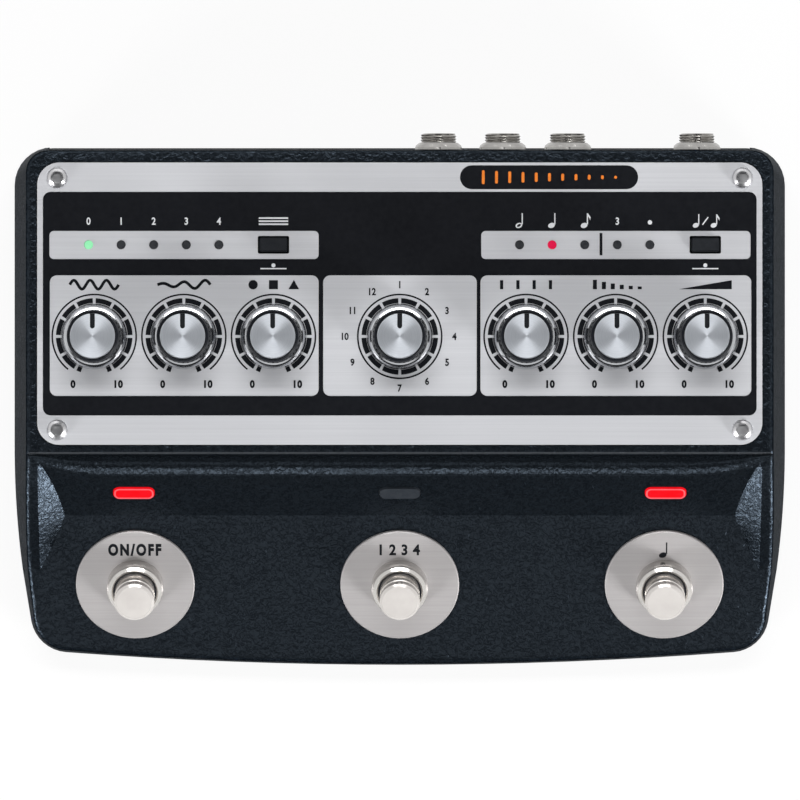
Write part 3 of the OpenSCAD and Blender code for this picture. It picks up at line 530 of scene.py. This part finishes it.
def make_spun_cap(name, x):
    """Aluminium turned on a lathe: fine rings round a knob's axis."""
    mat, shader, marks = start_material(name + "_cap_metal", SMUDGE, Scale=300.0)
    nodes, link = mat.node_tree.nodes, mat.node_tree.links.new
    place = nodes.new("ShaderNodeTexCoord")
    axis = (-x * MM, -KNOB_ROW * MM, 0)
    centred = add(nodes, "ShaderNodeMapping", in_Location=axis, in_Scale=(1, 1, 0))
    radius = add(nodes, "ShaderNodeVectorMath", operation="LENGTH")
    rings = add(nodes, "ShaderNodeTexNoise", noise_dimensions="1D", in_Scale=6000.0, in_Detail=3.0)
    link(place.outputs["Object"], centred.inputs["Vector"])
    link(centred.outputs[0], radius.inputs[0])
    link(radius.outputs["Value"], rings.inputs["W"])
    dull, bright = (0.55, 0.58, 0.625), (0.635, 0.665, 0.71)
    shade(mat, rings.outputs["Fac"], shader.inputs["Base Color"], dull, bright)
    shade(mat, marks.outputs["Patch"], shader.inputs["Roughness"], 0.34, 0.40)
    bump(mat, shader, rings.outputs["Fac"], 0.05, 0.0001)
    tangent = add(nodes, "ShaderNodeTangent", direction_type="RADIAL", axis="Z")
    link(tangent.outputs[0], shader.inputs["Tangent"])
    set_shader(shader, Metallic=0.62, Anisotropic=0.8, Anisotropic_Rotation=0.25)
    return mat


# Darker and lighter colour, metallic share, roughness, and for the disc the scales of its scratches
BRUSHED = {
    "panel_metal": ((0.535, 0.541, 0.566), (0.592, 0.598, 0.622), 0.15, 0.40),
    "disc_metal": ((0.320, 0.306, 0.306), (0.362, 0.348, 0.348), 0.4, 0.36, 16.0, 1800.0),
    "ribbon": ((0.40, 0.40, 0.38), (0.50, 0.50, 0.48), 0.0, 0.5),
}

# Darker and lighter colour, roughness, and the metallic share where it isn't whole
PLATED = {
    "screw_steel": ((0.46, 0.46, 0.47), (0.56, 0.56, 0.57), 0.30),
    "skirt_plate": ((0.42, 0.43, 0.45), (0.55, 0.56, 0.58), 0.13),
    "shaft_metal": ((0.45, 0.45, 0.46), (0.55, 0.55, 0.56), 0.3),
    "plunger_plate": ((0.545, 0.518, 0.495), (0.62, 0.592, 0.565), 0.16, 0.72),
    "collar_plate": ((0.50, 0.485, 0.462), (0.60, 0.58, 0.556), 0.14, 0.85),
    "socket_metal": ((0.34, 0.328, 0.31), (0.48, 0.465, 0.445), 0.22),
    "nut_plate": ((0.32, 0.31, 0.30), (0.46, 0.45, 0.435), 0.2),
}

# Darker and lighter colour, roughness, and the strength of the gloss where it isn't the usual one
MOULDED = {
    "rubber": ((0.010, 0.010, 0.010), (0.018, 0.018, 0.018), 0.8),
    "grip_plastic": ((0.006, 0.007, 0.009), (0.011, 0.012, 0.015), 0.42, 0.05),
    "switch_plastic": ((0.03, 0.035, 0.05), (0.05, 0.055, 0.07), 0.5),
    "key_plastic": ((0.012, 0.014, 0.017), (0.018, 0.020, 0.024), 0.4),
    "light_dark": ((0.032, 0.034, 0.038), (0.046, 0.048, 0.053), 0.3),
    "lamp_dark": ((0.014, 0.017, 0.022), (0.021, 0.025, 0.030), 0.35),
    "socket_plastic": ((0.010, 0.010, 0.011), (0.016, 0.016, 0.018), 0.5),
    "board": ((0.006, 0.06, 0.03), (0.012, 0.085, 0.045), 0.4),
    "chip_plastic": ((0.008, 0.008, 0.009), (0.013, 0.013, 0.014), 0.5),
    "print_black": ((0.0058, 0.0066, 0.0086), (0.0080, 0.0089, 0.0112), 0.42, 0.06),
    "print_white": ((0.66, 0.67, 0.70), (0.74, 0.75, 0.77), 0.5),
    "print_orange": ((0.80, 0.20, 0.022), (0.90, 0.25, 0.035), 0.5),
    "pointer_paint": ((0.007, 0.008, 0.010), (0.011, 0.012, 0.014), 0.4),
}

# Darker and lighter colour, and the share of a lens's own light
LIT = {
    "light_green": ((0.28, 0.86, 0.44), (0.36, 0.94, 0.52), 0.75),
    "light_red": ((0.70, 0.010, 0.060), (0.80, 0.015, 0.080), 0.75),
    "lamp_red": ((0.84, 0.003, 0.008), (0.96, 0.006, 0.014), 0.75),
    "lamp_rim": ((0.90, 0.10, 0.12), (0.98, 0.14, 0.16), 0.8),
}

KINDS = ((make_brushed, BRUSHED), (make_plated, PLATED), (make_moulded, MOULDED), (make_lit, LIT))
FINISH = {"case_paint": make_case_paint(), "cover_paint": make_cover_paint()}
for make, table in KINDS:
    FINISH.update({name: make(name, *values) for name, values in table.items()})
FINISH.update({name + "_knob_cap": make_spun_cap(name, x) for name, x in KNOBS.items()})

for part in frame["record"]["subparts"]:
    node = frame["nodes"][part["node"]]
    finish = part["node"] if part["material_slot"] == "cap_metal" else part["material_slot"]
    node.data.materials.clear()
    node.data.materials.append(FINISH[finish])


# Case: the casting's own skin with its facets smoothed

def case_place(vert):
    """Distance from the middle, depth and height of a vertex, in millimetres."""
    return abs(vert.co.x) / MM, vert.co.y / MM, vert.co.z / MM


def on_lip(x, y, z):
    return x < GROOVE_HALF_W and LIP_FROM_Y < y < LIP_TO_Y and z > LIP_LEAST_Z


def crease_limit(edge):
    """Least angle, in degrees, at which an edge of the casting shows as a crease."""
    rounded, in_bowl, elsewhere = 120, 9, 34
    limit = rounded
    for vert in edge.verts:
        x, y, z = case_place(vert)
        bend = max(0, (x - RIDGE_STRAIGHT_X) / (RIDGE_END_X - RIDGE_STRAIGHT_X))
        ridge = RIDGE_Y + RIDGE_BEND * bend ** 2
        on_ridge = x < GROOVE_HALF_W and RIDGE_FROM < y - ridge < RIDGE_TO and z > RIDGE_LEAST_Z
        floor = DECK_Z - BOWL_BELOW_DECK + (y - DECK_Y) * math.tan(DECK_TILT)
        if not (on_ridge or on_lip(x, y, z)):
            limit = min(limit, in_bowl if x < BOWL_HALF_W and y < ridge and z > floor else elsewhere)
    return limit


def make_case_skin():
    """Marks the narrow faces along the lip, where the paint gets a painted highlight."""
    merge_within = 0.002 * MM
    mesh = frame["nodes"]["upper_case"].data.copy()
    skin = bmesh.new()
    skin.from_mesh(mesh)
    bmesh.ops.remove_doubles(skin, verts=skin.verts, dist=merge_within)
    for edge in skin.edges:
        edge.smooth = edge.calc_face_angle(math.pi) < math.radians(crease_limit(edge))
    # The narrow faces along the lip are marked for a painted highlight.
    highlit = skin.faces.layers.float.new("painted_lip_highlight")
    for face in skin.faces:
        face.smooth = True
        face[highlit] = all(on_lip(*case_place(vert)) for vert in face.verts)
    skin.to_mesh(mesh)
    skin.free()
    obj = new_object("case_skin", mesh)
    pick(obj)
    bpy.ops.object.modifier_add(type="WEIGHTED_NORMAL")
    obj.modifiers[-1].keep_sharp = True
    bpy.ops.object.modifier_apply(modifier=obj.modifiers[-1].name)
    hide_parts("upper_case")
    dress(obj, "chassis", FINISH["case_paint"])


make_case_skin()


# Print on the control panel

def make_black_field():
    light_rows, light_y, light_r = ((-86.0, -19.9), (20.0, 86.1)), (34.6, 41.5), 1.1
    knob_fields, knob_y, knob_r = ((-85.9, -19.9), (-18.8, 18.9), (19.8, 86.3)), (1.0, 30.6), 1.7
    outlines = [rounded_box(-87.6, 87.6, -3.8, 51.1, 1.9)]
    outlines += [rounded_box(*x, *light_y, light_r) for x in light_rows]
    outlines += [rounded_box(*x, *knob_y, knob_r) for x in knob_fields]
    lay_print(flat_shape("panel_black_field", outlines), GROUND, "print_black")
    pill = rounded_box(14.8, 58.5, 51.75, 57.6, 2.9, 10)
    lay_print(flat_shape("panel_name_pill", [pill]), GROUND, "print_black")
    divider = bar(49.05, 49.75, 35.5, 41.0)
    lay_print(flat_shape("light_row_divider", [divider]), GROUND, "print_black")


def make_dials():
    """Round each knob a thin ring and a scale of short arcs; the angles are in degrees."""
    ring_r0, ring_r1, ring_end, ring_steps = 10.1, 10.5, 141.5, 96
    scale_r0, scale_r1, scale_end, stop_end = 8.2, 9.4, 150, 161.5
    step, scale_steps, gap, gap_r = 360 / MODE_WAYS, 10, 0.7, 8.85
    half_gap = math.degrees(gap / 2 / gap_r)
    segments, rings = [], []
    for name, x in KNOBS.items():
        if name == "mode":
            rings += [round_dot(x, KNOB_ROW, r, ring_steps) for r in (ring_r1, ring_r0)]
            spans = [(step * i, step * (i + 1)) for i in range(MODE_WAYS)]
        else:
            rings.append(ring_part(x, KNOB_ROW, ring_r0, ring_r1, -ring_end, ring_end))
            spans = [(step * i - scale_end, step * (i + 1) - scale_end) for i in range(scale_steps)]
            spans += [(-stop_end, -scale_end), (scale_end, stop_end)]
        for a0, a1 in spans:
            segments.append(ring_part(x, KNOB_ROW, scale_r0, scale_r1, a0 + half_gap, a1 - half_gap))
    lay_print(flat_shape("dial_segments", segments), GROUND, "print_black")
    lay_print(flat_shape("dial_rings", rings), GROUND, "print_black")


def make_dial_figures():
    mode_rx, mode_ry, mode_h = 13.4, 12.7, 1.8
    ends = (("0", -5.2, 1.0), ("10", 6.0, 1.15))
    end_y, end_h, end_width, end_weight = KNOB_ROW - 11.7, 1.95, 0.9, 0.055
    figures = []
    for name, x in KNOBS.items():
        if name == "mode":
            for i, a in enumerate(full_turn(MODE_WAYS)):
                place = (x + mode_rx * math.sin(a), KNOB_ROW + mode_ry * math.cos(a))
                figures.append(text_shape(str(i + 1), *place, mode_h))
        else:
            for text, across, spacing in ends:
                figures.append(text_shape(text, x + across, end_y, end_h, end_width, end_weight, spacing))
    lay_print(joined("dial_figures", figures), GROUND, "print_black")


def make_knob_signs():
    """A plain sign over each knob: speed, depth, shape, spacing, fading repeats and loudness."""
    y, h, line, half_w = 28.3, 1.1, 0.72, 6.5
    x = KNOBS["rate"]
    signs = [stroke(wave(x - 6, x + 6, y, 3, h, h), line)]
    x = KNOBS["depth"]
    signs.append(stroke(wave(x - half_w, x + half_w, y, 2.5, 0.25, 1.2), line))
    x = KNOBS["variation"]
    signs += [round_dot(x - 5, y, 1.15), bar(x - h, x + h, y - h, y + h)]
    signs.append([(x + 3.7, y - h), (x + 6.3, y - h), (x + 5, y + 1.2)])
    x = KNOBS["time"]
    signs += [bar(x + d - 0.4, x + d + 0.4, y - h, y + h) for d in (-6, -2, 2, 6)]
    x, pitch, fade = KNOBS["feedback"] - 5.6, 2.2, 0.78
    signs += [bar(x + pitch * i, x + 1 + pitch * i, y - h, y - h + 2.3 * fade ** i) for i in range(6)]
    x = KNOBS["level"]
    signs.append([(x - half_w, y - h), (x + half_w, y - h), (x + half_w, y + h)])
    lay_print(flat_shape("knob_signs", signs), GROUND, "print_black")


def make_light_figures():
    y, height, weight = LIGHT_ROW + 5.8, 1.8, 0.022
    figures = [text_shape(str(i), x, y, height, weight=weight) for i, x in enumerate(LEFT_LIGHTS)]
    figures.append(text_shape("3", RIGHT_LIGHTS[3], y, height, weight=weight))
    lay_print(joined("light_figures", figures), OVERPRINT, "print_white")

    signs = []
    for x, kind in zip(RIGHT_LIGHTS, ("half", "quarter", "eighth")):
        signs += note_sign(x, y + 0.2, kind)
    signs.append(round_dot(RIGHT_LIGHTS[4], y - 0.3, 0.55))
    x = KNOBS["variation"]
    signs += [bar(x - 3.6, x + 3.6, y + d - 0.2, y + d + 0.2) for d in (-0.75, 0, 0.75)]
    x = KNOBS["level"]
    signs += note_sign(x - 2.2, y + 0.1, "quarter", 0.9) + note_sign(x + 2.2, y + 0.1, "eighth", 0.9)
    signs.append(stroke([(x - 0.7, y - 0.9), (x + 0.7, y + 1.0)], 0.3))
    hold_y = LIGHT_ROW - 6.0
    for x in (KNOBS[name] for name in KEYS):
        signs += [bar(x - 3.2, x + 3.2, hold_y, hold_y + 0.3), round_dot(x, hold_y + 0.95, 0.5)]
    lay_print(flat_shape("light_row_signs", signs), OVERPRINT, "print_white")


def make_pill_motif():
    """A row of fading repeats in the pill."""
    x0, y, pitch, half_w, tallest = 20.5, 54.68, 3.25, 0.35, 1.7
    bars = []
    for i in range(11):
        x, half_h = x0 + pitch * i, tallest * (1 - i / 12.5)
        bars.append(rounded_box(x - half_w, x + half_w, y - half_h, y + half_h, 0.3, 3))
    lay_print(flat_shape("pill_repeats", bars), OVERPRINT, "print_orange")


make_black_field()
make_dials()
make_dial_figures()
make_knob_signs()
make_light_figures()
make_pill_motif()


# Knobs: black paint in the pointer slots

def make_pointers():
    cap_r, slot_l, slot_w = 5.55, 3.7, 1.2
    slot_floor, slot_depth, below_top = 51.65, 0.35, 0.05
    side_gap, rim_gap, arc_steps = 0.02, 0.06, 12
    r, rim = slot_w / 2 - side_gap, KNOB_ROW + cap_r - rim_gap
    end_y = KNOB_ROW + cap_r - slot_l + slot_w / 2
    for name, x in KNOBS.items():
        angles = [math.pi + math.pi * i / arc_steps for i in range(arc_steps + 1)]
        outline = [(x + r * math.cos(a), end_y + r * math.sin(a)) for a in angles]
        outline += [(x + r, rim), (x - r, rim)]
        pointer = flat_shape(name + "_pointer", [outline], slot_depth - below_top)
        settle(pointer, lifted(slot_floor + slot_depth / 2))
        dress(pointer, name + "_knob", FINISH["pointer_paint"])


make_pointers()


# Foot switch discs: figures and signs

def make_disc_print():
    up = 9.75
    pieces = {
        "left": text_shape("ON/OFF", 0, up, 3.3, width_scale=0.72, weight=0.055, spacing=1.32),
        "centre": text_shape("1 2 3 4", 0, up, 3.0, weight=0.034, spacing=1.1),
        "right": flat_shape("tempo_sign", note_sign(-0.3, up, "quarter", 1.15)),
    }
    for side, sign in pieces.items():
        sign.name = side + "_disc_print"
        deck = tilted_place(FEET[side], FOOT_ROW, DECK_HEIGHT, DECK_TILT)
        settle(sign, deck @ lifted(DISC_T + INK / 2))
        dress(sign, "chassis", FINISH["print_black"])


make_disc_print()


# Rear sockets: threaded bushes and coned nuts

def make_threads():
    """Screwed bushes with plain bores, each thread a true helix along +Y."""
    pitch, depth, rows, steps = 0.65, 0.324, 90, 48
    y0, y1, outer, bore = 60.137, 66.0, 4.45, 3.275
    run_out, run_out_depth = 0.35, 0.3

    def thread_r(y, angle):
        phase = (y / pitch + angle / (2 * math.pi)) % 1
        fade = min(1, (y1 - y) / run_out)
        return outer - depth * abs(2 * phase - 1) - (1 - fade) * run_out_depth

    levels = [y0 + (y1 - y0) * i / rows for i in range(rows + 1)]
    pieces = []
    for x in SOCKETS:
        rings = [socket_ring(x, y, [thread_r(y, a) for a in full_turn(steps)]) for y in levels]
        rings += [socket_ring(x, y, [bore] * steps) for y in (y1, y0)]
        pieces.append(ring_solid("socket_thread", rings))
    threads = joined("socket_threads", pieces)
    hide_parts("socket_bushes")
    dress(threads, "chassis", FINISH["socket_metal"])


def make_nuts():
    """Hexagon nuts whose outer corners are turned off to a steep cone."""
    across, bore, steps = 11.6, 4.5, 72
    y0, y1 = 61.637, 63.7
    cone = [(y0, 9.0), (62.5, 6.35), (63.1, 5.6), (y1, 4.85)]
    sixth = math.pi / 3

    def hexagon_r(angle):
        return across / 2 / math.cos((angle + sixth / 2) % sixth - sixth / 2)

    pieces = []
    for x in SOCKETS:
        rings = [socket_ring(x, y, [min(hexagon_r(a), r) for a in full_turn(steps)]) for y, r in cone]
        rings += [socket_ring(x, y, [bore] * steps) for y in (y1, y0)]
        pieces.append(ring_solid("socket_nut", rings))
    nuts = joined("socket_coned_nuts", pieces)
    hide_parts("socket_nuts")
    dress(nuts, "chassis", FINISH["nut_plate"])


make_threads()
make_nuts()


# Lamps on the slope: the lit edge of each red lens

def make_lamp_rims():
    half_l, half_w, corner_r, edge, proud = 4.85, 1.65, 1.35, 0.4, 0.35
    outer = rounded_box(-half_l, half_l, -half_w, half_w, corner_r, 10)
    inner = rounded_box(edge - half_l, half_l - edge, edge - half_w, half_w - edge, corner_r - edge, 10)
    for side in ("left", "right"):
        rim = flat_shape(side + "_lamp_rim", [outer, inner])
        slope = tilted_place(FEET[side], LAMP_ROW, LAMP_HEIGHT, LAMP_TILT)
        settle(rim, slope @ lifted(proud + INK / 2))
        dress(rim, "chassis", FINISH["lamp_rim"])


make_lamp_rims()


# Camera, light and floor, in metres

def seen_background(nodes, link, level):
    """The level where a ray comes from the camera or from a mirror or clear surface, else 0."""
    path = nodes.new("ShaderNodeLightPath")
    total = path.outputs["Is Camera Ray"]
    for kind in ("Is Glossy Ray", "Is Transmission Ray"):
        more = add_math(nodes, "MAXIMUM")
        link(total, more.inputs[0])
        link(path.outputs[kind], more.inputs[1])
        total = more.outputs[0]
    seen = add_math(nodes, "MULTIPLY", level)
    link(total, seen.inputs[0])
    return seen.outputs[0]


def white_where_seen(tree, output, unseen, white, level):
    """Makes a floor or world white to the eye while it lights the scene as the unseen shader says."""
    nodes, link = tree.nodes, tree.links.new
    mix = nodes.new("ShaderNodeMixShader")
    link(seen_background(nodes, link, level), mix.inputs[0])
    link(unseen.outputs[0], mix.inputs[1])
    link(white.outputs[0], mix.inputs[2])
    link(mix.outputs[0], nodes.new(output).inputs["Surface"])


def new_stage_material(name):
    mat = bpy.data.materials.new(name)
    mat.use_nodes = True
    mat.node_tree.nodes.clear()
    return mat


def make_floor():
    seen_level = 0.88
    bpy.ops.mesh.primitive_plane_add(size=6, location=(0, 0, 0))
    floor = bpy.context.object
    floor.name = "studio_floor"
    mat = new_stage_material("studio_white")
    nodes = mat.node_tree.nodes
    matt = add(nodes, "ShaderNodeBsdfDiffuse", in_Color=(0.95, 0.95, 0.95, 1))
    white = add(nodes, "ShaderNodeEmission", in_Color=(1, 1, 1, 1), in_Strength=1.0)
    white_where_seen(mat.node_tree, "ShaderNodeOutputMaterial", matt, white, seen_level)
    floor.data.materials.append(mat)


def make_world():
    world = bpy.data.worlds.new("studio")
    bpy.context.scene.world = world
    world.use_nodes = True
    nodes = world.node_tree.nodes
    nodes.clear()
    fill = add(nodes, "ShaderNodeBackground", in_Color=(0.95, 0.97, 1, 1), in_Strength=0.05)
    white = add(nodes, "ShaderNodeBackground", in_Color=(1, 1, 1, 1), in_Strength=1.0)
    white_where_seen(world.node_tree, "ShaderNodeOutputWorld", fill, white, 1.0)


def make_dark_card(name, size, place, turn):
    """Dark card that only glossy surfaces show, so that the coves and edges of dark paint stand out."""
    deselect()
    bpy.ops.mesh.primitive_plane_add(size=1, location=place, rotation=turn)
    card = bpy.context.object
    card.name = name
    card.scale = (*size, 1)
    mat = new_stage_material(name)
    nodes = mat.node_tree.nodes
    dark = add(nodes, "ShaderNodeEmission", in_Color=(0.04, 0.042, 0.045, 1), in_Strength=1.0)
    out = nodes.new("ShaderNodeOutputMaterial")
    mat.node_tree.links.new(dark.outputs[0], out.inputs["Surface"])
    card.data.materials.append(mat)
    card.visible_camera = False
    card.visible_diffuse = False
    card.visible_shadow = False
    card.visible_transmission = False


def make_lamp(name, place, size, power):
    """Softbox aimed at the middle of the unit."""
    middle = Vector((0, 0, 0.02))
    light = bpy.data.lights.new(name, "AREA")
    light.shape = "RECTANGLE"
    light.size, light.size_y = size
    light.energy = power
    lamp = new_object(name, light)
    aim = middle - Vector(place)
    lamp.matrix_world = Matrix.Translation(place) @ aim.to_track_quat("-Z", "Y").to_matrix().to_4x4()
    lamp.visible_camera = False
    return lamp


def spare(lamps, nodes):
    """Keeps the glare of some lamps off bright pieces."""
    group = bpy.data.collections.new("spared_by_corner_lamps")
    for node in nodes:
        group.objects.link(node)
    for item in group.collection_objects:
        item.light_linking.link_state = "EXCLUDE"
    for lamp in lamps:
        lamp.light_linking.receiver_collection = group


def make_camera():
    """Looks straight down; at the height of the table it takes in view_w."""
    height, view_w, sensor_w, off_x = 2.27, 0.19975, 36, 0.00006
    data = bpy.data.cameras.new("camera")
    data.sensor_width = sensor_w
    data.lens = sensor_w * height / view_w
    data.clip_end = 20
    camera = new_object("camera", data)
    camera.location = (off_x, 0, height)
    bpy.context.scene.camera = camera


make_floor()
make_world()
make_dark_card("overhead_card", (1.7, 1.3), (0, 0, 1.5), (0, 0, 0))
make_dark_card("front_card", (3.2, 1.7), (0, -1.5, 0.85), (math.pi / 2, 0, 0))
make_lamp("overhead_softbox", (0, 0.2, 2.5), (2.4, 2.4), 4)
make_lamp("rear_softbox", (0, 0.75, 1.35), (1.3, 0.3), 15)
make_lamp("rear_low_lamp", (0, 1.3, 0.75), (1.6, 0.3), 4)
make_lamp("front_softbox", (0, -0.906, 0.8), (1.8, 0.42), 2.7)
corner_lamps = [
    make_lamp("left_lamp", (-1.15, -0.95, 0.28), (0.45, 0.42), 22),
    make_lamp("right_lamp", (1.15, -0.95, 0.28), (0.45, 0.42), 34),
]
bright_pieces = [name + "_knob_" + piece for name in KNOBS for piece in ("skirt", "cap")]
spare(corner_lamps, [frame["nodes"][name] for name in bright_pieces])
make_camera()
bpy.context.scene.view_settings.view_transform = "Standard"
